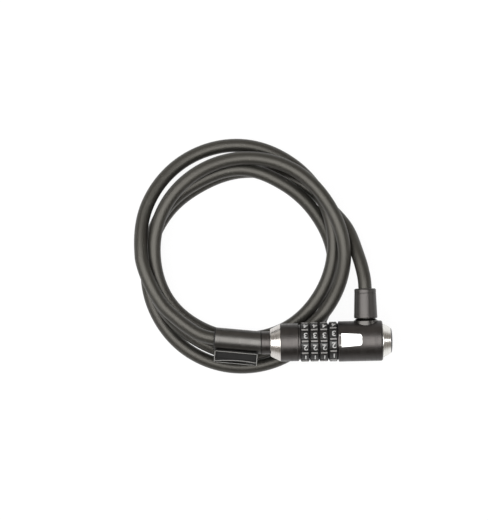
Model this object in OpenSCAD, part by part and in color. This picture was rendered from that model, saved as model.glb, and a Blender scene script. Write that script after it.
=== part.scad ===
// Combination cable lock: a wound steel cable in a vinyl jacket, swivelled to a
// lock head with four number dials, and a toothed plug on the cable's other end.
// Millimetres. Origin on the surface that the coil lies on, under the innermost
// turn where it passes below the lock. +X runs along the lock head from plug to
// end button, +Z is up.

/* [Cable] */
// Outer diameter of the jacketed cable
cable_d = 10; // [9:0.1:10]
// Length of cable held straight inside the sleeve and inside the ferrule
cable_socket = 10; // [6:0.5:10]

/* [Lock axis] */
// Height of the lock's axis above the surface that the coil lies on
axis_z = 31.5; // [31.5:0.1:33]
// Place of the lock's axis along Y
axis_y = -3.3; // [-3.6:0.1:-3]
// Place of the head's front face along X
mouth_x = 19; // [18.6:0.1:19.4]

/* [Plug] */
// Diameter of the plug's locking pin
pin_d = 8; // [7:0.1:8]
// Height of a locking tooth above the pin
tooth_h = 3.6; // [3:0.1:3.8]
// Width of a locking tooth across the pin
tooth_w = 3; // [2:0.1:3]
// Thickness of a locking tooth along the pin
tooth_t = 2; // [1.4:0.1:2.2]
// Diameter of the plug's black collar
collar_d = 17.2; // [16:0.1:18]
// Length of the collar
collar_len = 6.6; // [6.4:0.1:7.4]
// Diameter of the steel core inside the collar
plug_core_d = 13; // [12:0.1:13.4]
// Diameter of the ball that lets the sleeve tilt
ball_d = 6.8; // [6.2:0.1:7]
// Angle at which the sleeve hangs from the lock's axis
sleeve_tilt = 6.3; // [5.8:0.1:6.6]
// Distance of the ball behind the head's front face
ball_back = 4.4; // [4.2:0.1:4.6]
// Gap that lets the sleeve tilt behind the collar
tilt_gap = 0.5; // [0.3:0.1:0.8]

/* [Sleeve] */
// Outer diameter of the plug's sleeve
sleeve_d = 17; // [16.6:0.1:17.6]
// Distance from the ball to the sleeve's cable end
sleeve_reach = 37.3; // [36:0.1:38]
// Wall between the sleeve's outside and the crimp
sleeve_wall = 1.5; // [1.2:0.1:1.8]
// Distance from the ball to the crimp that grips the cable's end
crimp_start = 5.3; // [5:0.1:7]
// Length of the carrier foot along the sleeve
foot_len = 32.8; // [30:0.1:33.2]
// Distance from the sleeve's cable end to the foot
foot_inset = 0.6; // [0:0.1:1]
// Height of the carrier foot below the sleeve
foot_h = 9; // [8:0.1:9.6]
// Rise of the shallow arch under the foot
foot_arch = 2; // [0.5:0.1:2.4]
// Width of the foot's lip
foot_w = 11; // [9:0.1:12]
// Width of the foot's neck
foot_neck_w = 7; // [5:0.1:8]
// Thickness of the foot's lip and end walls
foot_t = 1.2; // [1:0.1:1.6]

/* [Front of the head] */
// Diameter of the steel nose at its front face
nose_front_d = 20.8; // [20:0.1:22]
// How far the steel nose lies below the front barrel
nose_drop = 0.2; // [0:0.1:0.5]
// Length of the steel nose
nose_len = 7.5; // [6.5:0.1:8.5]
// How far the front barrel lies below the housing
barrel_drop = 1; // [0.6:0.1:1.2]
// Length of the front barrel
barrel_len = 13.8; // [13:0.1:15]
// Thickness of the washer between barrel and dials
washer_t = 0.9; // [0.6:0.1:1.2]

/* [Dials] */
// Width of one dial
dial_w = 6.85; // [6.6:0.05:7.2]
// Gap between dials
dial_gap = 0.2; // [0.15:0.05:0.4]
// How far a dial's band lies below the housing
dial_drop = 0.5; // [0.2:0.1:0.8]
// Numbers on a dial
dial_numbers = 10; // [8:1:10]
// Width of the band that the numbers stand on
dial_band = 5.2; // [4.8:0.1:5.6]
// Depth of the step at a dial's edges
dial_edge = 1.5; // [1:0.1:1.8]
// Length of a finger rib along the dial
rib_len = 4.8; // [4.4:0.1:5.2]
// Width of a finger rib
rib_w = 1.3; // [1:0.1:1.6]
// Width of the groove beside a rib
rib_groove_w = 0.9; // [0.6:0.1:1.1]
// Depth of the groove beside a rib
rib_groove_h = 0.8; // [0.4:0.1:1]
// How far a rib stands above the band
rib_proud = 0.35; // [0:0.05:0.5]
// How far the ribs of the first dials are turned from the top
dials_turn = 3.5; // [0:0.5:6]
// How far the ribs of the last dial are turned from the top
last_dial_turn = 9; // [0:0.5:12]

/* [Code hubs] */
// Outer diameter of a code hub
hub_d = 19; // [18.4:0.1:19.6]
// Thickness of a hub's gated disc
hub_disc_t = 2.8; // [2.2:0.1:3]
// Wall of a hub's skirt
hub_skirt = 1.2; // [0.9:0.1:1.2]
// Height of the splines that key a hub to its dial
spline_h = 0.7; // [0.5:0.1:1]
// Width of a spline
spline_w = 1.4; // [1:0.1:1.8]

/* [Core tube] */
// Outer diameter of the core tube that the hubs turn on
core_d = 12; // [11.8:0.1:12.2]
// Thickness of the core tube's front flange
core_flange_t = 0.9; // [0.7:0.1:1.2]
// Diameter of the core tube's front flange
core_flange_d = 14.2; // [13.6:0.1:14.4]
// Diameter of a detent ball
detent_d = 1.8; // [1.6:0.1:1.8]

/* [Housing] */
// Outer diameter of the main housing
housing_d = 30.2; // [29.8:0.1:30.8]
// Length of the main housing
housing_len = 33; // [32:0.5:35]
// Radius of the housing's rounded back edge
housing_corner = 1.6; // [0.6:0.1:2]
// Wall of the main housing
housing_wall = 2.6; // [2.4:0.1:2.8]
// Thickness of the housing's front wall
housing_front_t = 4; // [3:0.1:4.5]
// Distance from the housing's front to the index plate
plate_gap = 2; // [1.2:0.1:2.4]
// Length of the index plate
plate_len = 15.3; // [14.4:0.1:17]
// Width of the index plate at the dials
plate_w = 10.3; // [9.8:0.1:11]
// Width of the index plate at its far end
plate_end_w = 8.5; // [8:0.1:9.4]
// Thickness of the index plate
plate_t = 1.4; // [1:0.1:1.6]
// How far the index plate is turned from the top
plate_turn = 4.5; // [2:0.5:9]
// Diameter of the steel end cone at the housing
tail_front_d = 25.5; // [25:0.1:27]
// Diameter of the steel end cone at the button
tail_back_d = 19.5; // [19.2:0.1:20.5]
// Length of the steel end cone
tail_len = 5.6; // [5.4:0.1:6.4]
// Diameter of the grub screw
screw_d = 3; // [2:0.5:4]

/* [End button] */
// Diameter of the end button
button_d = 18.5; // [17:0.1:18.7]
// How far the button goes in
button_travel = 1.5; // [1:0.1:1.8]
// How far the button's dome stands out
button_proud = 1.5; // [1.2:0.1:2.2]
// Diameter of the button's stem
stem_d = 6; // [5.4:0.1:6.2]
// Wire of the button's spring
spring_wire = 0.9; // [0.6:0.1:1]
// Turns of the button's spring
spring_turns = 6; // [5:0.5:7]

/* [Cable ferrule] */
// Distance from the swivel to the housing's back end
swivel_back = 12.3; // [12:0.1:13]
// Diameter of the ferrule at the swivel
ferrule_d = 17.4; // [17:0.1:18]
// Diameter of the ferrule at the cable
ferrule_end_d = 16.2; // [15.6:0.1:16.8]
// Length of the ferrule
ferrule_len = 20; // [19.4:0.1:20.6]
// Height of the swivel's neck above the housing
neck_rise = 1.7; // [1.5:0.1:2]
// Diameter of the swivel's neck
neck_d = 14.2; // [13.4:0.1:15]
// Diameter of the swivel's flared foot
flare_d = 19; // [18:0.1:20]
// Diameter of the shaft that the ferrule turns on
shaft_d = 8; // [7:0.1:8.4]
// Diameter of the thread that holds the swivel in the housing
thread_d = 9.9; // [9:0.1:10.2]

/* [Fits] */
// Radial clearance of a running fit
run_fit = 0.06; // [0.05:0.01:0.09]
// Clearance between parts that are assembled and stay put
seat_fit = 0.1; // [0.05:0.01:0.15]
// Clearance around the teeth in their gates and slots
gate_fit = 0.3; // [0.2:0.05:0.4]
// Clearance around the cable in its sockets
cable_fit = 0.5; // [0.4:0.1:0.6]

/* [Hidden] */
$fn = 96;

dial_count = 4;
dial_d = housing_d - 2 * dial_drop;
barrel_d = housing_d - 2 * barrel_drop;
nose_back_d = barrel_d - 2 * nose_drop;
dial_pitch = dial_w + dial_gap;
number_step = 360 / dial_numbers;

// Stations along the head, from its front face
barrel_x = mouth_x + nose_len;
washer_x = barrel_x + barrel_len + seat_fit;
dial_x0 = washer_x + washer_t + seat_fit;
dials_end_x = dial_x0 + dial_count * dial_pitch;
housing_x = dials_end_x + 0.4;
housing_end_x = housing_x + housing_len;
swivel_x = housing_end_x - swivel_back;
cone_gap = 0.3;
cone_x = housing_end_x + cone_gap;
cone_end_x = cone_x + tail_len;

// Radii of the lock's inner works
core_r = core_d / 2;
core_bore_r = pin_d / 2 + seat_fit;
tooth_r = pin_d / 2 + tooth_h;
gate_r = norm([tooth_r, tooth_w / 2]) + gate_fit;
gate_w = tooth_w + 2 * gate_fit;
hub_r = hub_d / 2;
hub_front = 0.3;
hub_back = 0.3;
tooth_x = hub_front + hub_disc_t + 0.6;
detent_r = core_r - 0.5;
detent_x = hub_front + hub_disc_t / 2;
leaf_t = 0.25;
leaf_w = 2.4;
leaf_r = detent_r - detent_d / 2 - 0.15;
counterbore_r = core_flange_d / 2 + seat_fit;
core_x = mouth_x + 2.3;
core_clip_x = housing_x + housing_front_t + seat_fit;
clip_t = 0.9;
core_end_x = core_clip_x + clip_t + 1.2;
pin_short = 3.6;
pin_tip_x = core_end_x - pin_short;

// Radii and stations of the housing's works
cavity_r = housing_d / 2 - housing_wall;
spigot_len = 5.5;
spigot_wall = 1.9;
web_t = 3.5;
recess_r = button_d / 2 + seat_fit;
button_x = cone_end_x - 1.9;
recess_x = button_x - button_travel;
stop_x = recess_x - web_t;
stem_x = core_end_x + 1.2 + button_travel + 0.3;
spring_seat_x = core_end_x + 1.2;
spring_end_x = swivel_x - 0.7;
screw_inset = 3;
screw_x = housing_end_x - screw_inset;

// Stations of the swivel, from the lock's axis
neck_top = housing_d / 2 + neck_rise;
collar_base = neck_top + 0.15;
ferrule_base = collar_base + 2.2;
ferrule_reach = ferrule_base + ferrule_len;
lip_h = 3.4;
chamber_h = 3.4;
lip_top = ferrule_base + lip_h;
chamber_top = lip_top + chamber_h;
socket_floor = ferrule_reach - cable_socket;
clip_y = lip_top + 0.4;
shaft_top = clip_y + clip_t + 0.9;
nut_t = 1.8;
nut_af = thread_d + 1.6;
nut_corner_r = nut_af / 2 / cos(30);
nut_top = sqrt(pow(cavity_r, 2) - pow(nut_corner_r, 2)) - 0.1;

// Stations of the plug, from the ball that the sleeve hangs on
ball_x = mouth_x - ball_back;
collar_gap = 0.05;
collar_x = mouth_x - collar_gap - collar_len;
spigot_r = counterbore_r - 1.4;
crimp_end = sleeve_reach - cable_socket;
crimp_r = sleeve_d / 2 - sleeve_wall - seat_fit;

// ------------------------------------------------------------------- cable

// A point on the sleeve's centre line at a distance from the ball
function sleeve_point(d) = [
    ball_x - d * cos(sleeve_tilt), axis_y + d * sin(sleeve_tilt), axis_z
];

// A point on the ferrule's centre line at a distance from the lock's axis
function ferrule_point(d) = [swivel_x, axis_y + d, axis_z];

coil_centre_y = 62;
station_step = 30;
first_angle = 180;
rings_per_step = 2;
floor_height = 0.4 * cable_d;
coil_reach = 10 * cable_d;

// The coil's stations, one every 30 degrees clockwise from 9 o'clock: radius
// and height. The four turns ride over and under each other, so each station
// is chosen by hand, and the turns between them come from the formula below.
COIL = [
    [76, 29.6], [81.4, 18], [84.2, 8], [83.3, 6], [78.1, 11.5], [72.5, 17],
    [67.8, 15.8], [64.4, 11.2], [63.2, 5], [62.1, 4], [62.5, 15], [65, 21.8],
    [66.4, 24.4], [68.9, 25.1], [71, 24.5], [73.3, 21.5], [74.9, 23.5], [74.7, 27.5],
    [76, 27], [74.5, 17.9], [72.2, 11], [73.8, 8], [71.8, 9.6], [71.5, 13.6],
    [70.5, 14.5], [68.5, 14.6], [65, 14.6], [65.1, 14.6], [62.1, 14.6], [63.2, 9.8],
    [68, 4], [72.7, 4], [80.9, 4], [83.6, 4], [82.4, 4], [77.6, 4],
    [71.6, 4], [65.9, 4], [62, 4], [63.6, 4], [67.4, 4], [73.7, 5.5]
];

// The free stretch from the sleeve's mouth to the coil
LEAD = [
    [-33, 3.7, 31.5], [-42.2, 9.4, 31.5], [-51.5, 17, 31.5],
    [-61.2, 27, 31.7], [-70.1, 43.2, 31.5]
];

// The free stretch from the coil up to the ferrule's mouth
TAIL = [[78.5, 81.3, 11.2], [86.3, 60.2, 24.1], [89.8, 46, 29.6]];

// Smooth curve through four neighbours, between the middle two
function through(a, b, c, d, t) =
    (2 * b + (c - a) * t + (2 * a - 5 * b + 4 * c - d) * t * t
        + (3 * b - a - 3 * c + d) * t * t * t) / 2;

function clamp_index(list, k) = list[min(max(k, 0), len(list) - 1)];

// Radius and height at a place counted in stations
function coil_at(u) =
    let (k = min(floor(u), len(COIL) - 2))
    through(clamp_index(COIL, k - 1), COIL[k], COIL[k + 1], clamp_index(COIL, k + 2), u - k);

function coil_point(u) =
    let (rz = coil_at(u), angle = first_angle - station_step * u)
    [rz[0] * cos(angle), coil_centre_y + rz[0] * sin(angle), max(rz[1], floor_height)];

function coil_points(per_step) =
    [for (k = [0:(len(COIL) - 1) * per_step]) coil_point(k / per_step)];

// Points through a list, leaving out the stretches before and after it
function smooth(list, per_step) = concat(
    [for (i = [1:len(list) - 3], k = [0:per_step - 1])
        through(list[i - 1], list[i], list[i + 1], list[i + 2], k / per_step)],
    [list[len(list) - 2]]
);

lead_steps = 2;
lead_chosen = concat(
    [sleeve_point(crimp_end), sleeve_point(sleeve_reach)], LEAD, [coil_point(0), coil_point(0.5)]
);
lead_points = concat([sleeve_point(crimp_end)], smooth(lead_chosen, lead_steps));
last_station = len(COIL) - 1;
tail_chosen = concat(
    [coil_point(last_station - 0.5), coil_point(last_station)],
    TAIL,
    [ferrule_point(ferrule_reach), ferrule_point(socket_floor)]
);
tail_points = concat(smooth(tail_chosen, lead_steps), [ferrule_point(socket_floor)]);
turn_points = coil_points(rings_per_step);

function unit(v) = v / norm(v);

// Direction of travel at point k, with the ends' directions given
function heading(points, k, first, last) =
    k == 0 ? first : k == len(points) - 1 ? last : unit(points[k + 1] - points[k - 1]);

// A round tube swept along points, its flats level
module tube(points, first, last, r, sides) {
    rings = len(points);
    corners = [for (k = [0:rings - 1])
        let (
            t = heading(points, k, first, last),
            side = unit(cross(t, [0, 0, 1])),
            up = cross(side, t)
        )
        for (s = [0:sides - 1])
            points[k] + r * (side * cos(360 * s / sides) + up * sin(360 * s / sides))
    ];
    walls = [for (k = [0:rings - 2], s = [0:sides - 1])
        let (
            a = k * sides + s,
            b = k * sides + (s + 1) % sides,
            c = a + sides,
            d = b + sides
        )
        each [[a, b, c], [b, d, c]]
    ];
    start = [[for (s = [sides - 1:-1:0]) s]];
    end = [[for (s = [0:sides - 1]) (rings - 1) * sides + s]];
    polyhedron(corners, concat(walls, start, end));
}

coil_first = unit(coil_point(0.5) - lead_points[len(lead_points) - 2]);
coil_last = unit(tail_points[1] - coil_point(last_station - 0.5));
loop_sides = 6;
tube_sides = 8;

// Least gap of the cable to itself, between points further apart along it than
// a few diameters
gap_points = coil_points(6);
gap_skip = 8;
gaps = [for (i = [0:len(gap_points) - gap_skip - 1], j = [i + gap_skip:len(gap_points) - 1])
    norm(gap_points[i] - gap_points[j]) - cable_d];
echo(least_gap_of_the_coil_to_itself = min(gaps));

module cable_coil() {
    color([0.2, 0.19, 0.18])
    difference() {
        tube(turn_points, coil_first, coil_last, cable_d / 2, loop_sides);
        translate([-coil_reach, coil_centre_y - coil_reach, -cable_d])
            cube([2 * coil_reach, 2 * coil_reach, cable_d]);
    }
}

module cable_plug_end() {
    color([0.2, 0.19, 0.18])
    tube(lead_points, unit(lead_points[1] - lead_points[0]), coil_first, cable_d / 2, tube_sides);
}

module cable_tail() {
    color([0.2, 0.19, 0.18])
    tube(tail_points, coil_last, [0, -1, 0], cable_d / 2, tube_sides);
}

// ------------------------------------------------------------ shared helpers

// Local Z runs along +X, local X points down, local Y stays Y
module on_axis(x) {
    translate([x, axis_y, axis_z]) rotate([0, 90, 0]) children();
}

// Local Z runs from the ball towards the cable, local X points up
module on_sleeve() {
    translate([ball_x, axis_y, axis_z]) rotate([0, 0, -sleeve_tilt]) rotate([0, -90, 0]) children();
}

// Local Z runs along +Y, away from the lock's axis
module on_swivel() {
    translate([swivel_x, axis_y, axis_z]) rotate([-90, 0, 0]) children();
}

// Solid of revolution about the lock's axis, from [radius, x] points
module turned(profile) {
    on_axis(0) rotate_extrude() polygon(profile);
}

// A ring about the lock's axis
module ring(x, length, outer_r, inner_r) {
    turned([[inner_r, x], [outer_r, x], [outer_r, x + length], [inner_r, x + length]]);
}

// The channel that the teeth run in, below the bore
module tooth_channel(x, length) {
    on_axis(x) translate([0, -gate_w / 2, 0]) cube([gate_r, gate_w, length]);
}

// ------------------------------------------------------------------- head

module front_nose() {
    spigot = 3.5;
    edge = 0.4;
    color([0.75, 0.73, 0.7])
    difference() {
        turned([
            [core_r + seat_fit, core_x + core_flange_t + seat_fit],
            [counterbore_r, core_x + core_flange_t + seat_fit],
            [counterbore_r, mouth_x],
            [nose_front_d / 2 - edge, mouth_x],
            [nose_front_d / 2, mouth_x + edge],
            [nose_back_d / 2, barrel_x],
            [hub_r - 0.5, barrel_x],
            [hub_r - 0.5, barrel_x + spigot],
            [core_r + seat_fit, barrel_x + spigot]
        ]);
        tooth_channel(mouth_x - 1, nose_len + spigot + 2);
    }
}

module front_barrel() {
    spigot = 3.5;
    edge = 0.4;
    back = barrel_x + barrel_len;
    color([0.13, 0.13, 0.13])
    difference() {
        turned([
            [hub_r - 0.5 + seat_fit, barrel_x],
            [barrel_d / 2 - edge, barrel_x],
            [barrel_d / 2, barrel_x + edge],
            [barrel_d / 2, back - edge],
            [barrel_d / 2 - edge, back],
            [core_r + seat_fit, back],
            [core_r + seat_fit, barrel_x + spigot + seat_fit],
            [hub_r - 0.5 + seat_fit, barrel_x + spigot + seat_fit]
        ]);
        tooth_channel(barrel_x - 1, barrel_len + 2);
    }
}

module front_washer() {
    color([0.3, 0.3, 0.3])
    ring(washer_x, washer_t, dial_d / 2 - dial_edge, gate_r + seat_fit);
}

module core_tube() {
    slot_end = dial_x(dial_count - 1) + tooth_x + tooth_t + 1;
    groove = 0.6;
    color([0.7, 0.7, 0.72])
    difference() {
        turned([
            [core_bore_r, core_x],
            [core_flange_d / 2, core_x],
            [core_flange_d / 2, core_x + core_flange_t],
            [core_r, core_x + core_flange_t],
            [core_r, core_clip_x - seat_fit / 2],
            [core_r - groove, core_clip_x - seat_fit / 2],
            [core_r - groove, core_clip_x + clip_t + seat_fit / 2],
            [core_r, core_clip_x + clip_t + seat_fit / 2],
            [core_r, core_end_x],
            [core_bore_r, core_end_x]
        ]);
        on_axis(core_x - 1) translate([0, -gate_w / 2, 0])
            cube([core_flange_d, gate_w, slot_end - core_x + 1]);
        on_axis(dial_x0) translate([-leaf_r - seat_fit, -leaf_w / 2 - seat_fit, 0])
            cube([leaf_r, leaf_w + 2 * seat_fit, dial_count * dial_pitch]);
        for (i = [0:dial_count - 1])
            on_axis(dial_x(i) + detent_x) rotate([0, -90, 0])
                cylinder(d = detent_d + seat_fit, h = core_d);
    }
}

module core_clip() {
    color([0.6, 0.6, 0.62])
    difference() {
        ring(core_clip_x, clip_t, core_r + 2.4, core_r - 0.6 + seat_fit / 2);
        on_axis(core_clip_x - 1) translate([0, -core_r / 2, 0]) cube([core_d, core_r, clip_t + 2]);
    }
}

module core_plug() {
    color([0.6, 0.55, 0.35])
    turned([
        [0, pin_tip_x + 0.6], [core_bore_r - seat_fit / 2, pin_tip_x + 0.6],
        [core_bore_r - seat_fit / 2, core_end_x], [core_r, core_end_x],
        [core_r, spring_seat_x], [0, spring_seat_x]
    ]);
}

module detent_balls() {
    color([0.8, 0.8, 0.82])
    for (i = [0:dial_count - 1])
        on_axis(dial_x(i) + detent_x) translate([-detent_r, 0, 0]) sphere(d = detent_d, $fn = 48);
}

module detent_leaf() {
    margin = 1.2;
    color([0.7, 0.7, 0.6])
    on_axis(dial_x0 + margin) translate([-leaf_r, -leaf_w / 2, 0])
        cube([leaf_t, leaf_w, dial_count * dial_pitch - 2 * margin]);
}

module dial_spacers() {
    spacer_t = 0.5;
    color([0.55, 0.5, 0.4])
    for (i = [1:dial_count])
        ring(dial_x(i) - dial_gap - hub_back + (hub_back + dial_gap + hub_front - spacer_t) / 2,
            spacer_t, hub_r - 0.2, gate_r + seat_fit);
}

// -------------------------------------------------------------------- dials

function dial_x(i) = dial_x0 + i * dial_pitch;

function dial_turn(i) = -(i == dial_count - 1 ? last_dial_turn : dials_turn);

// Splines around a round blank, as a flat shape
module splined(r, w, h, turn) {
    circle(r);
    for (k = [0:dial_numbers - 1])
        rotate(turn + k * number_step) translate([0, -w / 2]) square([r + h, w]);
}

module dial(i) {
    edge_w = (dial_w - dial_band) / 2;
    band_r = dial_d / 2;
    rib_z = (dial_w - rib_len) / 2;
    rib_root = rib_groove_h + 0.3;
    color([0.1, 0.1, 0.1])
    on_axis(dial_x(i)) difference() {
        union() {
            difference() {
                rotate_extrude() polygon([
                    [0, 0], [band_r - dial_edge, 0], [band_r, edge_w],
                    [band_r, dial_w - edge_w], [band_r - dial_edge, dial_w], [0, dial_w]
                ]);
                for (k = [0:dial_numbers - 1])
                    rotate(180 + dial_turn(i) + k * number_step)
                    translate([band_r - rib_groove_h, -rib_w / 2 - rib_groove_w, -1])
                        cube([dial_edge, rib_w + 2 * rib_groove_w, dial_w + 2]);
            }
            for (k = [0:dial_numbers - 1])
                rotate(180 + dial_turn(i) + k * number_step)
                translate([band_r - rib_root, -rib_w / 2, rib_z])
                    cube([rib_root + rib_proud, rib_w, rib_len]);
        }
        translate([0, 0, -1]) linear_extrude(dial_w + 2)
            splined(hub_r + seat_fit, spline_w + 2 * seat_fit, spline_h, dial_turn(i));
    }
}

module hub(i) {
    disc_end = hub_front + hub_disc_t;
    color([0.65, 0.6, 0.4])
    on_axis(dial_x(i)) difference() {
        translate([0, 0, hub_front]) linear_extrude(dial_w - hub_front - hub_back)
            splined(hub_r, spline_w, spline_h - seat_fit, dial_turn(i));
        translate([0, 0, -1]) cylinder(r = core_r + run_fit, h = dial_w + 2);
        translate([0, 0, disc_end]) cylinder(r = hub_r - hub_skirt, h = dial_w);
        translate([0, -gate_w / 2, -1]) cube([gate_r, gate_w, dial_w + 2]);
        for (k = [0:dial_numbers - 1])
            rotate(180 + k * number_step) translate([detent_r, 0, -1])
                cylinder(d = detent_d + seat_fit, h = disc_end + 2, $fn = 48);
    }
}

// ------------------------------------------------------------------ housing

// Outline of the index plate, its length along +Y of the flat shape
module plate_outline(grow) {
    corner = 2;
    near = plate_w / 2 + grow;
    far = plate_end_w / 2 + grow;
    end = plate_len + grow;
    polygon(concat(
        [[-near, -grow], [near, -grow]],
        [for (a = [0:15:90]) [far - corner + corner * cos(a), end - corner + corner * sin(a)]],
        [for (a = [90:15:180]) [corner - far + corner * cos(a), end - corner + corner * sin(a)]]
    ));
}

// Puts a shape drawn on the index plate onto the housing's crown
module on_plate(height) {
    on_axis(housing_x + plate_gap) rotate(-plate_turn) translate([-height, 0, 0])
        rotate([0, -90, 0]) rotate(-90) children();
}

plate_top = housing_d / 2 - 0.1;
plate_floor = plate_top - plate_t;
plate_cut = plate_t + 2;
prong_w = 0.9;
prong_y = 3.7;

module housing() {
    edge = 0.3;
    corner = housing_corner;
    outer = housing_d / 2;
    color([0.12, 0.12, 0.12])
    difference() {
        turned(concat(
            [[core_r + seat_fit, housing_x], [outer - edge, housing_x], [outer, housing_x + edge]],
            [for (a = [0:15:90])
                [outer - corner + corner * cos(a), housing_end_x - corner + corner * sin(a)]],
            [[cavity_r, housing_end_x], [cavity_r, housing_x + housing_front_t],
             [core_r + seat_fit, housing_x + housing_front_t]]
        ));
        on_swivel() cylinder(d = thread_d + seat_fit, h = housing_d);
        on_axis(screw_x) rotate([0, 90, 0]) cylinder(d = screw_d + seat_fit, h = housing_d);
        on_plate(plate_floor) linear_extrude(plate_cut) plate_outline(seat_fit);
        on_plate(plate_floor) translate([-prong_y - prong_w, -plate_gap - 1, 0])
            cube([2 * (prong_y + prong_w), plate_gap + 1.5, plate_cut]);
    }
}

module index_plate() {
    prong_len = plate_gap - 0.3;
    color([0.9, 0.9, 0.9]) {
        on_plate(plate_floor) linear_extrude(plate_t) union() {
            plate_outline(0);
            for (side = [-1, 1])
                translate([side * prong_y - prong_w / 2, -prong_len]) square([prong_w, prong_len + 1]);
        }
    }
}

module end_cone() {
    color([0.75, 0.73, 0.7])
    difference() {
        turned([
            [stem_d / 2 + run_fit, stop_x],
            [cavity_r - seat_fit - spigot_wall, stop_x],
            [cavity_r - seat_fit - spigot_wall, housing_end_x - spigot_len],
            [cavity_r - seat_fit, housing_end_x - spigot_len],
            [cavity_r - seat_fit, cone_x],
            [tail_front_d / 2, cone_x],
            [tail_back_d / 2, cone_end_x],
            [recess_r, cone_end_x],
            [recess_r, recess_x],
            [stem_d / 2 + run_fit, recess_x]
        ]);
        on_axis(screw_x) rotate([0, 90, 0]) cylinder(d = screw_d + seat_fit, h = housing_d);
    }
}

module grub_screw() {
    socket_depth = 1.2;
    head_r = housing_d / 2 - 0.4;
    foot_r = cavity_r - seat_fit - spigot_wall + 0.3;
    color([0.5, 0.5, 0.52])
    on_axis(screw_x) rotate([0, 90, 0]) difference() {
        translate([0, 0, foot_r]) cylinder(d = screw_d, h = head_r - foot_r);
        translate([0, 0, head_r - socket_depth]) cylinder(d = screw_d * 0.55, h = 2, $fn = 6);
    }
}

// ------------------------------------------------------------------- button

module end_button() {
    disc_t = 2.1;
    dome_rise = button_x + disc_t;
    tip = cone_end_x + button_proud;
    edge = 0.8;
    color([0.1, 0.1, 0.1])
    turned(concat(
        [[0, stem_x], [stem_d / 2, stem_x], [stem_d / 2, button_x], [button_d / 2, button_x],
         [button_d / 2, dome_rise]],
        [for (a = [15:15:90])
            [(button_d / 2 - edge) * cos(a) + edge * cos(a), dome_rise + (tip - dome_rise) * sin(a)]]
    ));
}

module button_clips() {
    color([0.6, 0.6, 0.62]) {
        ring(spring_end_x, clip_t, stem_d / 2 + 1.8, stem_d / 2 + run_fit);
        ring(stop_x - 0.1 - clip_t, clip_t, stem_d / 2 + 2.4, stem_d / 2 + run_fit);
    }
}

// Coil spring about the lock's axis, as one swept wire
module button_spring() {
    wire_r = spring_wire / 2;
    coil_r = stem_d / 2 + wire_r + 0.35;
    first_x = spring_seat_x + wire_r + 0.05;
    last_x = spring_end_x - wire_r - 0.05;
    per_turn = 8;
    count = round(spring_turns * per_turn);
    points = [for (k = [0:count])
        let (a = 360 * k / per_turn)
        [first_x + (last_x - first_x) * k / count, axis_y + coil_r * cos(a), axis_z + coil_r * sin(a)]
    ];
    sides = 6;
    corners = [for (k = [0:count], s = [0:sides - 1])
        let (
            a = 360 * k / per_turn,
            b = 360 * s / sides,
            out = [0, cos(a), sin(a)]
        )
        points[k] + wire_r * (out * cos(b) + [1, 0, 0] * sin(b))
    ];
    walls = [for (k = [0:count - 1], s = [0:sides - 1])
        let (
            a = k * sides + s,
            b = k * sides + (s + 1) % sides
        )
        each [[a, a + sides, b], [b, a + sides, b + sides]]
    ];
    color([0.7, 0.7, 0.72])
    polyhedron(corners, concat(
        walls,
        [[for (s = [0:sides - 1]) s]],
        [[for (s = [sides - 1:-1:0]) count * sides + s]]
    ));
}

// ------------------------------------------------------------ cable ferrule

module swivel_stud() {
    flare_base = sqrt(pow(housing_d / 2, 2) - pow(flare_d / 2, 2)) - 0.5;
    flare_y = housing_d / 2 - 0.2;
    stem_end = nut_top - nut_t - 0.3;
    color([0.35, 0.35, 0.36])
    union() {
        difference() {
            on_swivel() rotate_extrude() polygon([
                [0, flare_base], [flare_d / 2, flare_base], [flare_d / 2, flare_y],
                [neck_d / 2, flare_y + 1.8], [neck_d / 2, neck_top], [0, neck_top]
            ]);
            on_axis(housing_x) cylinder(d = housing_d + seat_fit, h = housing_len);
        }
        on_swivel() rotate_extrude() polygon([
            [0, stem_end], [thread_d / 2, stem_end], [thread_d / 2, housing_d / 2 + 0.6],
            [shaft_d / 2, housing_d / 2 + 0.6], [shaft_d / 2, clip_y - 0.05],
            [shaft_d / 2 - 0.55, clip_y - 0.05], [shaft_d / 2 - 0.55, clip_y + clip_t + 0.05],
            [shaft_d / 2, clip_y + clip_t + 0.05], [shaft_d / 2, shaft_top], [0, shaft_top]
        ]);
    }
}

module stud_nut() {
    color([0.6, 0.6, 0.62])
    on_swivel() difference() {
        translate([0, 0, nut_top - nut_t]) cylinder(r = nut_corner_r, h = nut_t, $fn = 6);
        translate([0, 0, nut_top - nut_t - 1]) cylinder(d = thread_d + seat_fit, h = nut_t + 2);
    }
}

module swivel_clip() {
    color([0.6, 0.6, 0.62])
    on_swivel() difference() {
        translate([0, 0, clip_y]) cylinder(r = shaft_d / 2 + 1.5, h = clip_t);
        translate([0, 0, clip_y - 1]) cylinder(r = shaft_d / 2 - 0.5, h = clip_t + 2);
        translate([0, -shaft_d / 4, clip_y - 1]) cube([shaft_d, shaft_d / 2, clip_t + 2]);
    }
}

module ferrule() {
    groove = 0.2;
    groove_drop = 3.4;
    groove_y = ferrule_reach - groove_drop;
    corner = 1.2;
    top_r = ferrule_end_d / 2;
    color([0.12, 0.12, 0.12])
    on_swivel() rotate_extrude() polygon(concat(
        [[shaft_d / 2 + run_fit, ferrule_base], [ferrule_d / 2, ferrule_base],
         [top_r, groove_y - groove], [top_r - groove, groove_y], [top_r, groove_y + groove]],
        [for (a = [0:15:90])
            [top_r - corner + corner * cos(a), ferrule_reach - corner + corner * sin(a)]],
        [[cable_d / 2 + cable_fit, ferrule_reach], [cable_d / 2 + cable_fit, socket_floor],
         [0, socket_floor], [0, chamber_top], [shaft_d / 2 + 1.8, chamber_top],
         [shaft_d / 2 + 1.8, lip_top], [shaft_d / 2 + run_fit, lip_top]]
    ));
}

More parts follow.
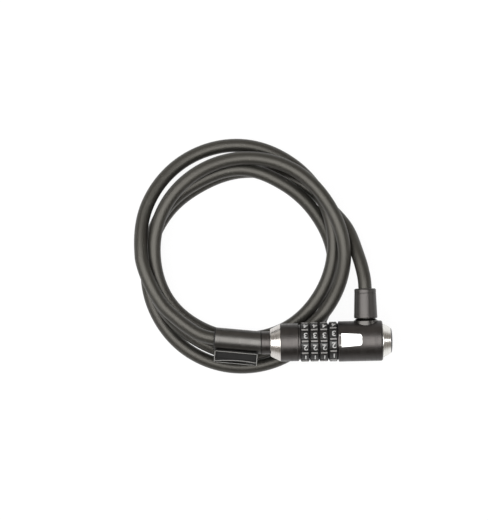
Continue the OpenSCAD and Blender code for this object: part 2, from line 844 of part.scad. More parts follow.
module ferrule_collar() {
    edge = 0.5;
    outer = ferrule_d / 2 + 0.05;
    top = ferrule_base - 0.05;
    color([0.1, 0.1, 0.1])
    on_swivel() rotate_extrude() polygon([
        [shaft_d / 2 + seat_fit, collar_base], [outer - edge, collar_base],
        [outer, collar_base + edge], [outer, top], [shaft_d / 2 + seat_fit, top]
    ]);
}

// --------------------------------------------------------------------- plug

module plug_pin() {
    core_front = collar_x + 0.3;
    back = mouth_x - collar_gap;
    spigot_end = mouth_x + 1.7;
    tip_edge = 1;
    color([0.72, 0.72, 0.74])
    difference() {
        union() {
            turned([
                [0, core_front], [plug_core_d / 2, core_front], [plug_core_d / 2, back],
                [spigot_r, back], [spigot_r, spigot_end], [pin_d / 2, spigot_end],
                [pin_d / 2, pin_tip_x - tip_edge], [pin_d / 2 - tip_edge, pin_tip_x], [0, pin_tip_x]
            ]);
            for (i = [0:dial_count - 1])
                on_axis(dial_x(i) + tooth_x) translate([0, -tooth_w / 2, 0])
                    cube([tooth_r, tooth_w, tooth_t]);
        }
        on_axis(ball_x) sphere(d = ball_d + seat_fit);
    }
}

module plug_seal() {
    section_r = 0.55;
    color([0.08, 0.08, 0.08])
    on_axis(mouth_x + 0.9) rotate_extrude() translate([spigot_r + section_r + 0.02, 0])
        circle(section_r, $fn = 32);
}

module plug_collar() {
    edge = 0.3;
    color([0.12, 0.12, 0.12])
    turned([
        [plug_core_d / 2 + seat_fit / 2, collar_x], [collar_d / 2 - edge, collar_x],
        [collar_d / 2, collar_x + edge], [collar_d / 2, mouth_x - collar_gap - edge],
        [collar_d / 2 - edge, mouth_x - collar_gap],
        [plug_core_d / 2 + seat_fit / 2, mouth_x - collar_gap]
    ]);
}

module plug_sleeve() {
    corner = 0.8;
    outer = sleeve_d / 2;
    color([0.13, 0.13, 0.13])
    difference() {
        on_sleeve() rotate_extrude() polygon(concat(
            [[crimp_r + seat_fit, 0.5], [outer, 0.5]],
            [for (a = [0:15:90])
                [outer - corner + corner * cos(a), sleeve_reach - corner + corner * sin(a)]],
            [[cable_d / 2 + cable_fit, sleeve_reach], [cable_d / 2 + cable_fit, crimp_end],
             [crimp_r + seat_fit, crimp_end]]
        ));
        translate([collar_x - tilt_gap, axis_y - sleeve_d, axis_z - sleeve_d]) cube(2 * sleeve_d);
    }
}

module carrier_foot() {
    end = sleeve_reach - foot_inset;
    start = end - foot_len;
    sleeve_r = sleeve_d / 2;
    reach = sleeve_r + foot_h;
    lip_y = reach - foot_t;
    flange_seat = 3;
    arch_w = foot_len - 2 * foot_t;
    arch_r = (pow(arch_w / 2, 2) + pow(foot_arch, 2)) / (2 * foot_arch);
    color([0.16, 0.16, 0.16])
    on_sleeve() difference() {
        union() {
            translate([-foot_neck_w / 2, -lip_y, start])
                cube([foot_neck_w, lip_y - sleeve_r + 2, foot_len]);
            translate([-foot_w / 2, -reach, start]) cube([foot_w, foot_arch + foot_t, foot_len]);
            for (z = [start, end - foot_t])
                translate([-foot_w / 2, -reach, z]) cube([foot_w, foot_h + flange_seat, foot_t]);
        }
        translate([-foot_w, foot_arch - reach - arch_r, (start + end) / 2]) rotate([0, 90, 0])
            cylinder(r = arch_r, h = 2 * foot_w, $fn = 240);
        translate([0, 0, start - 1]) cylinder(r = sleeve_r + 0.05, h = foot_len + 2);
    }
}

module cable_crimp() {
    color([0.6, 0.6, 0.62])
    on_sleeve() union() {
        sphere(d = ball_d);
        cylinder(d = ball_d - 2, h = crimp_start + 1);
        translate([0, 0, crimp_start]) cylinder(r = crimp_r, h = crimp_end - crimp_start);
    }
}

cable_coil();
cable_plug_end();
cable_tail();
front_nose();
front_barrel();
front_washer();
core_tube();
core_clip();
core_plug();
detent_balls();
detent_leaf();
dial_spacers();
dial(0);  // dial_1
dial(1);  // dial_2
dial(2);  // dial_3
dial(3);  // dial_4
hub(0);  // hub_1
hub(1);  // hub_2
hub(2);  // hub_3
hub(3);  // hub_4
housing();
index_plate();
end_cone();
grub_screw();
swivel_stud();
stud_nut();
swivel_clip();
ferrule();
ferrule_collar();
end_button();
button_spring();
button_clips();
plug_pin();
plug_seal();
plug_collar();
plug_sleeve();
carrier_foot();
cable_crimp();
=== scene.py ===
import math

import bmesh
import bpy
from mathutils import Matrix, Vector
from mathutils.kdtree import KDTree


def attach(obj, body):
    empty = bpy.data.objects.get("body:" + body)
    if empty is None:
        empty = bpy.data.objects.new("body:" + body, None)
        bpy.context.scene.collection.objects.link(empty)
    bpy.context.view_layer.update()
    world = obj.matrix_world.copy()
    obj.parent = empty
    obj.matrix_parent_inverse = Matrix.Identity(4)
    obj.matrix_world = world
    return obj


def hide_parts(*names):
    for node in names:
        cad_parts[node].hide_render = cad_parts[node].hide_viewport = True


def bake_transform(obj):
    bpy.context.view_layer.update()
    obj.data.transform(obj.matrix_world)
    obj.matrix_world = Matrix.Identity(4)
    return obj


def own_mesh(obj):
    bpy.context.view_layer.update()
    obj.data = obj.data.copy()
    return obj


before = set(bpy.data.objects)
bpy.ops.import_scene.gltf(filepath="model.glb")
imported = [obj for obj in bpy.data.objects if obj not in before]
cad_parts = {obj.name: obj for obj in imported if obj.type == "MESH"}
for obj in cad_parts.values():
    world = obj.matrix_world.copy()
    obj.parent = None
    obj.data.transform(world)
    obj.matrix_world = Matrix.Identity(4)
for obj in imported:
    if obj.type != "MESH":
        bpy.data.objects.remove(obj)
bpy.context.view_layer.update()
mm = 0.001

# Camera. It hangs straight above the coil behind a long lens, so that the
# lock shows without perspective, and it is turned so that the head climbs a
# little to the right.
view_height = 0.390
view_middle_x, view_middle_y = 0.0007, 0.0590
coil_mid_height = 0.02
camera_distance = 3.0
camera_roll = math.radians(-1.2)
camera_data = bpy.data.cameras.new("camera")
camera_data.sensor_width = 36.0
camera_data.lens = camera_data.sensor_width * camera_distance / view_height
camera = bpy.data.objects.new("camera", camera_data)
camera.location = (view_middle_x, view_middle_y, camera_distance + coil_mid_height)
camera.rotation_euler = (0.0, 0.0, camera_roll)
bpy.context.scene.collection.objects.link(camera)
bpy.context.scene.camera = camera

# Cable. Twisted steel wires in a soft vinyl jacket, 10 mm thick. It leaves
# the ferrule, runs under the coil, makes three and a half turns that ride
# over each other, and comes back on top into the plug's sleeve.
cable_radius = 5.0
floor_height = 4.0  # of the cable's centre, where the floor flattens it by 1 mm
axis_y, axis_z = -3.3, 31.5  # the head's axis, which the plug and the dials share
ball = Vector((14.6, axis_y, axis_z))
sleeve_tilt = math.radians(6.3)
sleeve_end, crimped_end = 37.3, 27.3
swivel_x = 90.7
ferrule_mouth, socket_floor = 35.85, 25.85
coil_middle_y = 62
station_turn = 30

# the coil's radius and height, every 30 degrees round its middle
coil_stations = [
    (76, 29.6), (81.4, 18), (84.2, 8), (83.3, 6), (78.1, 11.5), (72.5, 17),
    (67.8, 15.8), (64.4, 11.2), (63.2, 5), (62.1, 4), (62.5, 15), (65, 21.8),
    (66.4, 24.4), (68.9, 25.1), (71, 24.5), (73.3, 21.5), (74.9, 23.5), (74.7, 27.5),
    (76, 27), (74.5, 17.9), (72.2, 11), (73.8, 8), (71.8, 9.6), (71.5, 13.6),
    (70.5, 14.5), (68.5, 14.6), (65, 14.6), (65.1, 14.6), (62.1, 14.6), (63.2, 9.8),
    (68, 4), (72.7, 4), (80.9, 4), (83.6, 4), (82.4, 4), (77.6, 4),
    (71.6, 4), (65.9, 4), (62, 4), (63.6, 4), (67.4, 4), (73.7, 5.5),
]
last_station = len(coil_stations) - 1
lead_stations = [(-33, 3.7, axis_z), (-42.2, 9.4, axis_z), (-51.5, 17, axis_z),
                 (-61.2, 27, 31.7), (-70.1, 43.2, axis_z)]
tail_stations = [(78.5, 81.3, 11.2), (86.3, 60.2, 24.1), (89.8, 46, 29.6)]


def through(a, b, c, d, t):
    """The place a share t of the way from b to c, on a smooth line a, b, c, d."""
    return tuple(
        (2 * q + (r - p) * t + (2 * p - 5 * q + 4 * r - s) * t**2
         + (3 * q - p - 3 * r + s) * t**3) / 2
        for p, q, r, s in zip(a, b, c, d))


def coil_point(u):
    """The cable's centre, u stations along the coil from its start."""
    k = min(int(u), last_station - 1)
    radius, height = through(
        coil_stations[max(k - 1, 0)], coil_stations[k],
        coil_stations[k + 1], coil_stations[min(k + 2, last_station)], u - k)
    angle = math.radians(180 - station_turn * u)
    return (radius * math.cos(angle), coil_middle_y + radius * math.sin(angle),
            max(height, floor_height))


def sleeve_point(distance):
    """A place on the tilted sleeve's axis, at a distance back from the ball."""
    return (ball.x - distance * math.cos(sleeve_tilt),
            ball.y + distance * math.sin(sleeve_tilt), ball.z)


def smooth_route(stations, steps):
    """A smooth line of places from the second station to the last but one."""
    route = []
    for i in range(1, len(stations) - 2):
        for k in range(steps):
            route.append(through(*stations[i - 1:i + 3], k / steps))
    return route + [stations[-2]]


lead_steps, coil_steps, tail_steps = 6, 12, 8
lead_route = smooth_route(
    [sleeve_point(crimped_end), sleeve_point(sleeve_end), *lead_stations,
     coil_point(0), coil_point(0.5)], lead_steps)
coil_route = [coil_point(k / coil_steps) for k in range(last_station * coil_steps + 1)]
tail_route = smooth_route(
    [coil_point(last_station - 0.5), coil_point(last_station), *tail_stations,
     (swivel_x, ferrule_mouth, axis_z), (swivel_x, socket_floor, axis_z)], tail_steps)
# straight stretches in the sleeve and in the ferrule end the route
cable_route = ([sleeve_point(crimped_end), sleeve_point((crimped_end + sleeve_end) / 2)]
               + lead_route[:-1] + coil_route + tail_route[1:]
               + [(swivel_x, (ferrule_mouth + socket_floor) / 2, axis_z),
                  (swivel_x, socket_floor, axis_z)])
seam = len(lead_route) + 1  # where the coil starts and the plug's stretch ends
cable_route = [Vector(p) * mm for p in cable_route]

cable_curve = bpy.data.curves.new("cable_line", "CURVE")
cable_curve.dimensions = "3D"
cable_curve.bevel_depth = cable_radius * mm
cable_curve.bevel_resolution = 12
cable_curve.use_fill_caps = True
cable_curve.twist_mode = "Z_UP"
spline = cable_curve.splines.new("POLY")
spline.points.add(len(cable_route) - 1)
for point, place in zip(spline.points, cable_route):
    point.co = (*place, 1.0)
cable_line = bpy.data.objects.new("cable_line", cable_curve)
bpy.context.scene.collection.objects.link(cable_line)
whole_cable = bpy.data.meshes.new_from_object(
    cable_line.evaluated_get(bpy.context.evaluated_depsgraph_get()))
bpy.data.objects.remove(cable_line)
route_tree = KDTree(len(cable_route))
for index, place in enumerate(cable_route):
    route_tree.insert(place, index)
route_tree.balance()


def cable_piece(name, first, last):
    """The jacket between two points of the route, flattened on the floor."""
    bm = bmesh.new()
    bm.from_mesh(whole_cable)
    outside = [v for v in bm.verts if not first <= route_tree.find(v.co)[1] <= last]
    bmesh.ops.delete(bm, geom=outside, context="VERTS")
    for v in bm.verts:
        v.co.z = max(v.co.z, 0.0)
    bmesh.ops.recalc_face_normals(bm, faces=bm.faces)
    mesh = bpy.data.meshes.new(name)
    bm.to_mesh(mesh)
    bm.free()
    mesh.shade_smooth()
    piece = bpy.data.objects.new(name, mesh)
    bpy.context.scene.collection.objects.link(piece)
    return piece


end_ring = len(cable_route) - 1
cable = cable_piece("cable", seam, end_ring)
cable_plug_stretch = cable_piece("cable_plug_stretch", 0, seam)


def new_material(name, colour, roughness, metallic=0.0):
    """A material with its nodes, its links and its shader, ready to dress."""
    material = bpy.data.materials.new(name)
    material.use_nodes = True
    tree = material.node_tree
    shader = tree.nodes["Principled BSDF"]
    shader.inputs["Base Color"].default_value = (*colour, 1.0)
    shader.inputs["Roughness"].default_value = roughness
    shader.inputs["Metallic"].default_value = metallic
    return material, tree.nodes, tree.links, shader


def new_group(name, inputs, outputs):
    """A shader node group with named sockets, and its two end nodes."""
    group = bpy.data.node_groups.new(name, "ShaderNodeTree")
    for label, kind, value in inputs:
        socket_in = group.interface.new_socket(label, in_out="INPUT", socket_type=kind)
        if value is not None:
            socket_in.default_value = value
    for label, kind in outputs:
        group.interface.new_socket(label, in_out="OUTPUT", socket_type=kind)
    return (group, group.nodes.new("NodeGroupInput"),
            group.nodes.new("NodeGroupOutput"))


# a moulded surface: fine grain in its relief, and slow changes in its tone
noise_low, noise_high = 0.3, 0.7  # most of what a noise texture gives lies between
grain_depth = 0.0002
grain, grain_in, grain_out = new_group(
    "moulded_grain",
    [("Vector", "NodeSocketVector", None), ("Grain Scale", "NodeSocketFloat", 2500.0),
     ("Mottle Scale", "NodeSocketFloat", 60.0)],
    [("Grain", "NodeSocketFloat"), ("Mottle", "NodeSocketFloat")])
for label, source, detail, output in (("fine", "Grain Scale", 3.0, "Grain"),
                                      ("slow", "Mottle Scale", 4.0, "Mottle")):
    noise = grain.nodes.new("ShaderNodeTexNoise")
    noise.name = label
    noise.inputs["Detail"].default_value = detail
    noise.inputs["Roughness"].default_value = 0.6
    grain.links.new(grain_in.outputs["Vector"], noise.inputs["Vector"])
    grain.links.new(grain_in.outputs[source], noise.inputs["Scale"])
    grain.links.new(noise.outputs["Fac"], grain_out.inputs[output])


def dress_with_grain(nodes, links, shader, dark, light, grain_scale, mottle_scale,
                     roughness_range, relief):
    """Moulded grain: tone between two colours, uneven gloss, and fine relief."""
    place = nodes.new("ShaderNodeTexCoord")
    grain_node = nodes.new("ShaderNodeGroup")
    grain_node.node_tree = grain
    grain_node.inputs["Grain Scale"].default_value = grain_scale
    grain_node.inputs["Mottle Scale"].default_value = mottle_scale
    links.new(place.outputs["Object"], grain_node.inputs["Vector"])
    tone = nodes.new("ShaderNodeMix")
    tone.data_type = "RGBA"
    tone.inputs["A"].default_value = (*dark, 1.0)
    tone.inputs["B"].default_value = (*light, 1.0)
    links.new(grain_node.outputs["Mottle"], tone.inputs["Factor"])
    links.new(tone.outputs["Result"], shader.inputs["Base Color"])
    gloss = nodes.new("ShaderNodeMapRange")
    gloss.inputs["From Min"].default_value = noise_low
    gloss.inputs["From Max"].default_value = noise_high
    gloss.inputs["To Min"].default_value = roughness_range[0]
    gloss.inputs["To Max"].default_value = roughness_range[1]
    links.new(grain_node.outputs["Grain"], gloss.inputs["Value"])
    links.new(gloss.outputs["Result"], shader.inputs["Roughness"])
    bump = nodes.new("ShaderNodeBump")
    bump.inputs["Strength"].default_value = relief
    bump.inputs["Distance"].default_value = grain_depth
    links.new(grain_node.outputs["Grain"], bump.inputs["Height"])
    links.new(bump.outputs["Normal"], shader.inputs["Normal"])
    return tone, place


jacket, nodes, links, shader = new_material(
    "cable_jacket", colour=(0.04, 0.037, 0.032), roughness=0.5)
tone, place = dress_with_grain(
    nodes, links, shader, dark=(0.0073, 0.0070, 0.0060), light=(0.0148, 0.0143, 0.0122),
    grain_scale=3200.0, mottle_scale=45.0, roughness_range=(0.38, 0.48), relief=0.35)
shader.inputs["Specular IOR Level"].default_value = 0.58
shader.inputs["Specular Tint"].default_value = (1.0, 0.96, 0.87, 1.0)
# a few pale specks of dust
dust = nodes.new("ShaderNodeTexNoise")
dust.inputs["Scale"].default_value = 900.0
dust.inputs["Detail"].default_value = 2.0
links.new(place.outputs["Object"], dust.inputs["Vector"])
specks = nodes.new("ShaderNodeMapRange")
specks.inputs["From Min"].default_value = 0.70
specks.inputs["From Max"].default_value = 0.80
links.new(dust.outputs["Fac"], specks.inputs["Value"])
dusty = nodes.new("ShaderNodeMix")
dusty.data_type = "RGBA"
dusty.inputs["B"].default_value = (0.13, 0.12, 0.10, 1.0)
links.new(specks.outputs["Result"], dusty.inputs["Factor"])
links.new(tone.outputs["Result"], dusty.inputs["A"])
links.new(dusty.outputs["Result"], shader.inputs["Base Color"])

for piece, first, last, hidden, leaves in (
        (cable, seam, end_ring, ("cable_coil", "cable_tail"),
         (swivel_x * mm, ferrule_mouth * mm, axis_z * mm)),
        (cable_plug_stretch, 0, seam, ("cable_plug_end",), cable_route[seam])):
    piece.data.materials.append(jacket)
    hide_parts(*hidden)
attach(cable, "lock_head")
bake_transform(cable_plug_stretch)

# Housing, front barrel, front washer and plug collar. Turned metal with a
# satin black finish, so fine marks still run round it, and handling has left
# its tone a little uneven.
mark_stretch = 0.02
mark_depth = 0.0001
marks, marks_in, marks_out = new_group(
    "turned_marks",
    [("Vector", "NodeSocketVector", None), ("Marks per Metre", "NodeSocketFloat", 6000.0)],
    [("Marks", "NodeSocketFloat"), ("Stain", "NodeSocketFloat")])
stretch = marks.nodes.new("ShaderNodeVectorMath")
stretch.operation = "MULTIPLY"
stretch.inputs[1].default_value = (1.0, mark_stretch, mark_stretch)
line_noise = marks.nodes.new("ShaderNodeTexNoise")
line_noise.inputs["Detail"].default_value = 3.0
stain_noise = marks.nodes.new("ShaderNodeTexNoise")
stain_noise.inputs["Scale"].default_value = 140.0
marks.links.new(marks_in.outputs["Vector"], stretch.inputs[0])
marks.links.new(stretch.outputs["Vector"], line_noise.inputs["Vector"])
marks.links.new(marks_in.outputs["Marks per Metre"], line_noise.inputs["Scale"])
marks.links.new(marks_in.outputs["Vector"], stain_noise.inputs["Vector"])
marks.links.new(line_noise.outputs["Fac"], marks_out.inputs["Marks"])
marks.links.new(stain_noise.outputs["Fac"], marks_out.inputs["Stain"])


def turned_metal(name, dark, light, roughness_range, marks_per_metre, relief):
    """A metal with fine marks round the X axis, in a tone between two colours."""
    material, nodes, links, shader = new_material(name, light, roughness=0.3, metallic=1.0)
    place = nodes.new("ShaderNodeTexCoord")
    marks_node = nodes.new("ShaderNodeGroup")
    marks_node.node_tree = marks
    marks_node.inputs["Marks per Metre"].default_value = marks_per_metre
    links.new(place.outputs["Object"], marks_node.inputs["Vector"])
    tone = nodes.new("ShaderNodeMix")
    tone.data_type = "RGBA"
    tone.inputs["A"].default_value = (*dark, 1.0)
    tone.inputs["B"].default_value = (*light, 1.0)
    links.new(marks_node.outputs["Stain"], tone.inputs["Factor"])
    links.new(tone.outputs["Result"], shader.inputs["Base Color"])
    gloss = nodes.new("ShaderNodeMapRange")
    gloss.inputs["From Min"].default_value = noise_low
    gloss.inputs["From Max"].default_value = noise_high
    gloss.inputs["To Min"].default_value = roughness_range[0]
    gloss.inputs["To Max"].default_value = roughness_range[1]
    links.new(marks_node.outputs["Marks"], gloss.inputs["Value"])
    links.new(gloss.outputs["Result"], shader.inputs["Roughness"])
    bump = nodes.new("ShaderNodeBump")
    bump.inputs["Strength"].default_value = relief
    bump.inputs["Distance"].default_value = mark_depth
    links.new(marks_node.outputs["Marks"], bump.inputs["Height"])
    links.new(bump.outputs["Normal"], shader.inputs["Normal"])
    return material


satin_black = turned_metal(
    "satin_black", dark=(0.046, 0.043, 0.042), light=(0.074, 0.068, 0.065),
    roughness_range=(0.30, 0.46), marks_per_metre=1500.0, relief=0.12)


def dress(material, *names):
    """Give a material to nodes that keep the shape they come with."""
    for name in names:
        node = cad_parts[name]
        node.data.materials.clear()
        node.data.materials.append(material)


dress(satin_black, "housing", "front_barrel", "front_washer", "plug_collar")

# Ferrule and the swivel stud that it turns on. The ferrule has a satin black
# lacquer with a faint orange peel. The stud is steel, blackened and polished
# by the turning.
lacquer, nodes, links, shader = new_material(
    "black_lacquer", colour=(0.02, 0.02, 0.02), roughness=0.34)
dress_with_grain(
    nodes, links, shader, dark=(0.004, 0.0038, 0.0036), light=(0.008, 0.0076, 0.0072),
    grain_scale=1800.0, mottle_scale=70.0, roughness_range=(0.33, 0.43), relief=0.15)
shader.inputs["Specular IOR Level"].default_value = 0.70
shader.inputs["Specular Tint"].default_value = (1.0, 0.94, 0.91, 1.0)
dress(lacquer, "ferrule", "ferrule_collar")
polished_black = turned_metal(
    "polished_black", dark=(0.045, 0.043, 0.041), light=(0.08, 0.076, 0.072),
    roughness_range=(0.24, 0.34), marks_per_metre=5000.0, relief=0.05)
dress(polished_black, "swivel_stud")

# Plug sleeve and its carrier foot. The sleeve is turned and blackened, and a
# near-black ring round the cable at its end is painted shade in the gap there. The foot,
# which slides in a frame carrier, is dull black plastic, and its edges are beads painted
# light grey as the highlight where they catch the light.
sleeve_black = turned_metal(
    "sleeve_black", dark=(0.060, 0.058, 0.055), light=(0.098, 0.094, 0.089),
    roughness_range=(0.27, 0.44), marks_per_metre=1100.0, relief=0.30)
dress(sleeve_black, "plug_sleeve")
foot_plastic, nodes, links, shader = new_material(
    "foot_plastic", colour=(0.02, 0.02, 0.02), roughness=0.5)
dress_with_grain(
    nodes, links, shader, dark=(0.007, 0.007, 0.007), light=(0.014, 0.0135, 0.013),
    grain_scale=2000.0, mottle_scale=120.0, roughness_range=(0.50, 0.68), relief=0.35)
shader.inputs["Specular IOR Level"].default_value = 0.08
dress(foot_plastic, "carrier_foot")
# painted highlight: the beads are light grey so that the foot's edges read as catching the
# light
painted_highlight_edge, nodes, links, shader = new_material(
    "painted_highlight_edge", colour=(0.16, 0.16, 0.15), roughness=0.35)
dress_with_grain(
    nodes, links, shader, dark=(0.10, 0.10, 0.095), light=(0.20, 0.195, 0.185),
    grain_scale=2000.0, mottle_scale=160.0, roughness_range=(0.30, 0.45), relief=0.10)
foot_start, foot_end, foot_reach, foot_flange = 3.9, 36.7, 17.5, 1.2
foot_half_width, foot_seat = 5.5, 8.9
bead_rise, bead_low, bead_lean = 1.0, 1.6, 0.5
bead_half = (foot_end - foot_start) / 2 - foot_flange
bead_radius = 0.28
bead_steps = 12
shade_ring_reach, shade_ring_radius = 8.1, 0.45
shade_ring_steps = 24


def on_sleeve(along, out, up):
    """A place by the sleeve: along it from the ball, out to the foot, and up."""
    return Vector((ball.x - along * math.cos(sleeve_tilt) - out * math.sin(sleeve_tilt),
                   ball.y + along * math.sin(sleeve_tilt) - out * math.cos(sleeve_tilt),
                   ball.z + up)) * mm


def bead_piece(name, lines, radius, material, closed=False):
    """Round beads along lines of points, as one mesh that rides the plug."""
    curve = bpy.data.curves.new(name, "CURVE")
    curve.dimensions = "3D"
    curve.bevel_depth = radius * mm
    curve.bevel_resolution = 3
    curve.use_fill_caps = not closed
    for line in lines:
        spline = curve.splines.new("POLY")
        spline.points.add(len(line) - 1)
        spline.use_cyclic_u = closed
        for point, place in zip(spline.points, line):
            point.co = (*place, 1.0)
    shape = bpy.data.objects.new(name, curve)
    bpy.context.scene.collection.objects.link(shape)
    mesh = bpy.data.meshes.new_from_object(
        shape.evaluated_get(bpy.context.evaluated_depsgraph_get()))
    bpy.data.objects.remove(shape)
    mesh.name = name
    mesh.materials.clear()
    mesh.materials.append(material)
    mesh.shade_smooth()
    piece = bpy.data.objects.new(name, mesh)
    bpy.context.scene.collection.objects.link(piece)
    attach(piece, "plug")
    return piece


foot_middle = (foot_start + foot_end) / 2
bead_places = [bead_half * k / bead_steps for k in range(-bead_steps, bead_steps + 1)]
lip_bead = [
    on_sleeve(foot_middle + place,
              foot_reach - bead_low + bead_lean * place / bead_half
              - bead_rise * (1 - (place / bead_half)**2), foot_half_width)
    for place in bead_places]
far_bead = [on_sleeve(foot_start + foot_flange, foot_reach - bead_radius, 0.0),
            on_sleeve(foot_end - foot_flange, foot_reach - bead_radius, 0.0)]
flange_lines = [
    [on_sleeve(along, foot_seat, foot_half_width),
     on_sleeve(along, foot_reach, foot_half_width)]
    for along in (foot_start + foot_flange / 2, foot_end - foot_flange / 2)]
seat_line = [on_sleeve(foot_start + foot_flange, foot_seat, foot_half_width),
             on_sleeve(foot_end - foot_flange, foot_seat, foot_half_width)]
foot_highlight_beads = bead_piece("foot_highlight_beads", [lip_bead, far_bead, seat_line, *flange_lines],
                        bead_radius, painted_highlight_edge)

black_rubber_and_shade, nodes, links, shader = new_material(
    "black_rubber_and_shade", colour=(0.004, 0.004, 0.004), roughness=0.8)
dress_with_grain(
    nodes, links, shader, dark=(0.003, 0.003, 0.003), light=(0.006, 0.006, 0.006),
    grain_scale=2500.0, mottle_scale=90.0, roughness_range=(0.70, 0.85), relief=0.2)
# painted shade: a near-black ring at the sleeve's end stands in for the shade in the gap
# between the sleeve and the cable
shade_ring_angles = [math.radians(360 / shade_ring_steps * k) for k in range(shade_ring_steps)]
shade_ring_line = [on_sleeve(sleeve_end, shade_ring_reach * math.cos(angle), shade_ring_reach * math.sin(angle))
            for angle in shade_ring_angles]
sleeve_shade_ring = bead_piece("sleeve_shade_ring", [shade_ring_line], shade_ring_radius, black_rubber_and_shade, closed=True)

# Joint boot. A soft black rubber ring, moulded round the crimp's neck. It
# fills the wedge between the plug's collar and the tilted sleeve.
collar_back, sleeve_front = 12.3, 3.75
boot_outer, boot_inner = 7.7, 4.4
ring_segments = 48


def ring_piece(name, rims, material, body):
    """A solid ring, bridged from each round rim to the next, that rides a body."""
    bm = bmesh.new()
    loops = []
    for centre, facing, radius in rims:
        turn = facing.to_track_quat("Z", "Y").to_matrix().to_4x4()
        circle = bmesh.ops.create_circle(bm, segments=ring_segments, radius=radius * mm,
                                         matrix=Matrix.Translation(centre) @ turn)
        loops.append(list(dict.fromkeys(
            edge for v in circle["verts"] for edge in v.link_edges)))
    for loop, after in zip(loops, loops[1:] + loops[:1]):
        bmesh.ops.bridge_loops(bm, edges=loop + after)
    bmesh.ops.recalc_face_normals(bm, faces=bm.faces)
    mesh = bpy.data.meshes.new(name)
    bm.to_mesh(mesh)
    bm.free()
    mesh.materials.append(material)
    piece = bpy.data.objects.new(name, mesh)
    bpy.context.scene.collection.objects.link(piece)
    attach(piece, body)
    return piece


collar_side = Vector((collar_back, ball.y, ball.z)) * mm
sleeve_side = on_sleeve(sleeve_front, 0.0, 0.0)
head_axis = Vector((1.0, 0.0, 0.0))
sleeve_axis = Vector((math.cos(sleeve_tilt), -math.sin(sleeve_tilt), 0.0))
joint_boot = ring_piece(
    "joint_boot",
    [(collar_side, head_axis, boot_outer), (sleeve_side, sleeve_axis, boot_outer),
     (sleeve_side, sleeve_axis, boot_inner), (collar_side, head_axis, boot_inner)],
    black_rubber_and_shade, "plug")

# Rear washer. A thin blackened ring between the last dial and the housing, as
# the front washer is at the other end. It lies on the last spacer's outside.
washer_start, washer_end = 69.5, 69.95
washer_outer, washer_inner = 13.8, 9.5
washer_front = Vector((washer_start, ball.y, ball.z)) * mm
washer_back = Vector((washer_end, ball.y, ball.z)) * mm
rear_washer = ring_piece(
    "rear_washer",
    [(washer_front, head_axis, washer_outer), (washer_back, head_axis, washer_outer),
     (washer_back, head_axis, washer_inner), (washer_front, head_axis, washer_inner)],
    satin_black, "lock_head")

# Nose, end cone, and the steel pieces inside the lock. The nose and the cone
# are turned on a lathe and polished. The inner pieces are plain steel that
# still has the marks of its making.
nose_steel = turned_metal(
    "nose_steel", dark=(0.50, 0.475, 0.45), light=(0.68, 0.655, 0.63),
    roughness_range=(0.18, 0.32), marks_per_metre=5000.0, relief=0.12)
dress(nose_steel, "front_nose")
cone_steel = turned_metal(
    "cone_steel", dark=(0.66, 0.65, 0.62), light=(0.84, 0.83, 0.80),
    roughness_range=(0.18, 0.30), marks_per_metre=3000.0, relief=0.10)
dress(cone_steel, "end_cone")
plain_steel = turned_metal(
    "plain_steel", dark=(0.45, 0.45, 0.46), light=(0.62, 0.62, 0.62),
    roughness_range=(0.25, 0.40), marks_per_metre=7000.0, relief=0.15)
dress(plain_steel, "plug_pin", "core_tube", "core_clip", "detent_balls", "detent_leaf",
      "stud_nut", "swivel_clip", "button_clips", "button_spring", "grub_screw",
      "cable_crimp")

# Button spring. A coil of steel wire behind the end button, which pushes it
# back out when it is pressed in. It is the node's own coil,
# with its loose triangles joined.
join_within = 0.001
bm = bmesh.new()
bm.from_mesh(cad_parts["button_spring"].data)
bmesh.ops.remove_doubles(bm, verts=bm.verts, dist=join_within * mm)
spring_mesh = bpy.data.meshes.new("spring_coil")
bm.to_mesh(spring_mesh)
bm.free()
spring_mesh.materials.append(plain_steel)
spring = bpy.data.objects.new("spring_coil", spring_mesh)
bpy.context.scene.collection.objects.link(spring)
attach(spring, "lock_head")
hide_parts("button_spring")
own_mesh(spring)

# Code hubs, the spacer rings between them, and the core tube's end plug. They
# are turned brass, dulled by grease. Each hub sits in its dial and turns with it.
hub_brass = turned_metal(
    "hub_brass", dark=(0.16, 0.12, 0.07), light=(0.26, 0.20, 0.12),
    roughness_range=(0.40, 0.55), marks_per_metre=6000.0, relief=0.12)
dress(hub_brass, "hub_1", "hub_2", "hub_3", "hub_4", "dial_spacers", "core_plug")

# Plug seal and end button. The seal is an O-ring of soft black rubber on the
# plug's spigot. The button is a smooth black moulding with a shallow dome.
seal_rubber, nodes, links, shader = new_material(
    "seal_rubber", colour=(0.02, 0.02, 0.02), roughness=0.6)
dress_with_grain(
    nodes, links, shader, dark=(0.015, 0.015, 0.015), light=(0.03, 0.03, 0.03),
    grain_scale=3000.0, mottle_scale=100.0, roughness_range=(0.55, 0.70), relief=0.2)
dress(seal_rubber, "plug_seal")
button_plastic, nodes, links, shader = new_material(
    "button_plastic", colour=(0.02, 0.02, 0.02), roughness=0.3)
dress_with_grain(
    nodes, links, shader, dark=(0.014, 0.013, 0.013), light=(0.022, 0.021, 0.021),
    grain_scale=2200.0, mottle_scale=90.0, roughness_range=(0.24, 0.34), relief=0.08)
dress(button_plastic, "end_button")

# Dials. Black moulded rings with ten finger ribs, whose crowns carry a light
# print, and a number between each pair of ribs.
first_dial, dial_pitch, dial_width = 41.4, 7.05, 6.85
dial_starts = [first_dial + dial_pitch * i for i in range(4)]
band_radius = 14.6  # of the ground that the numbers stand on
print_foot, print_top = 0.08, 0.12  # above the band, where the ribs' print begins
shade_foot, shade_top = 0.30, 0.12  # below it, where the painted shade in the grooves ends

dial_plastic, nodes, links, shader = new_material(
    "dial_plastic", colour=(0.02, 0.02, 0.02), roughness=0.38)
tone, place = dress_with_grain(
    nodes, links, shader, dark=(0.009, 0.009, 0.009), light=(0.016, 0.015, 0.014),
    grain_scale=2400.0, mottle_scale=100.0, roughness_range=(0.26, 0.38), relief=0.15)
